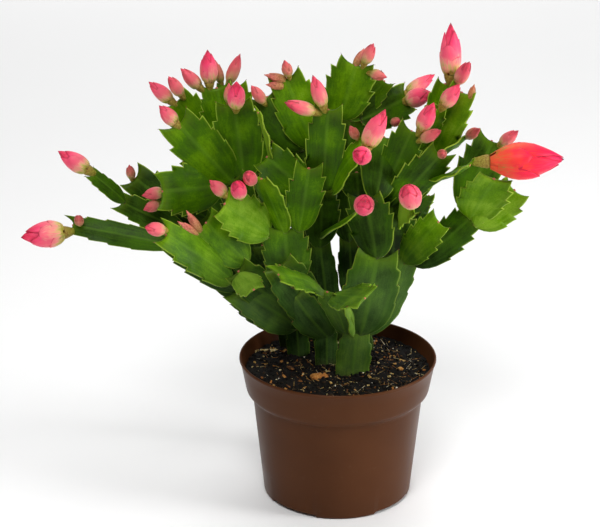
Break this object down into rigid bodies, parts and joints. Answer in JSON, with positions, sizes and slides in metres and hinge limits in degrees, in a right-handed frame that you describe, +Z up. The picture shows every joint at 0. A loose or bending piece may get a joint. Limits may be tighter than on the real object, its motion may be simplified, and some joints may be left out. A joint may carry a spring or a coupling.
{
  "type": "potted christmas cactus",
  "caption": "Budding Christmas cactus with flat toothed green stem joints and pink pointed buds, in soil in a brown plastic nursery pot.",
  "frame": {"origin": "middle of the pot's underside, on the surface that it stands on", "axes": "+Z up along the pot's axis, -Y towards the viewer of the picture, +X to the viewer's right"},
  "size_m": [0.312, 0.1689, 0.297],
  "materials": {
    "pot_plastic": "satin",
    "peat_soil": "matte",
    "green_stem": "satin",
    "pink_petals": "satin",
    "red_petals": "satin"
  },
  "bodies": {
    "root": {"bud_back_1": "pink_petals", "bud_back_2": "pink_petals", "bud_back_left_1": "pink_petals", "bud_back_left_2": "pink_petals", "bud_back_left_3": "pink_petals", "bud_back_left_4": "pink_petals", "bud_back_left_5": "pink_petals", "bud_back_left_6": "pink_petals", "bud_back_left_7": "pink_petals", "bud_back_left_8": "pink_petals", "bud_back_left_9": "pink_petals", "bud_front_1": "pink_petals", "bud_front_2": "pink_petals", "bud_front_3": "pink_petals", "bud_front_4": "pink_petals", "bud_front_5": "pink_petals", "bud_front_6": "pink_petals", "bud_front_7": "pink_petals", "bud_front_8": "pink_petals", "bud_front_9": "pink_petals", "bud_left_1": "pink_petals", "bud_left_2": "pink_petals", "bud_left_3": "pink_petals", "bud_left_4": "pink_petals", "bud_left_5": "pink_petals", "bud_left_6": "pink_petals", "bud_left_7": "pink_petals", "bud_middle_1": "pink_petals", "bud_middle_2": "pink_petals", "bud_middle_3": "pink_petals", "bud_middle_4": "pink_petals", "bud_middle_5": "pink_petals", "bud_middle_6": "pink_petals", "bud_middle_7": "pink_petals", "bud_middle_8": "pink_petals", "bud_middle_9": "pink_petals", "bud_rear_left_1": "pink_petals", "bud_rear_left_2": "pink_petals", "bud_rear_left_3": "pink_petals", "bud_rear_right_1": "pink_petals", "bud_right_1": "pink_petals", "bud_right_2": "pink_petals", "bud_right_3": "pink_petals", "bud_right_4": "pink_petals", "bud_right_5": "pink_petals", "flower_front": "red_petals", "pot": "pot_plastic", "soil": "peat_soil", "stem_back": "green_stem", "stem_back_left": "green_stem", "stem_front": "green_stem", "stem_left": "green_stem", "stem_middle": "green_stem", "stem_rear_left": "green_stem", "stem_rear_right": "green_stem", "stem_right": "green_stem"}
  },
  "joints": []
}
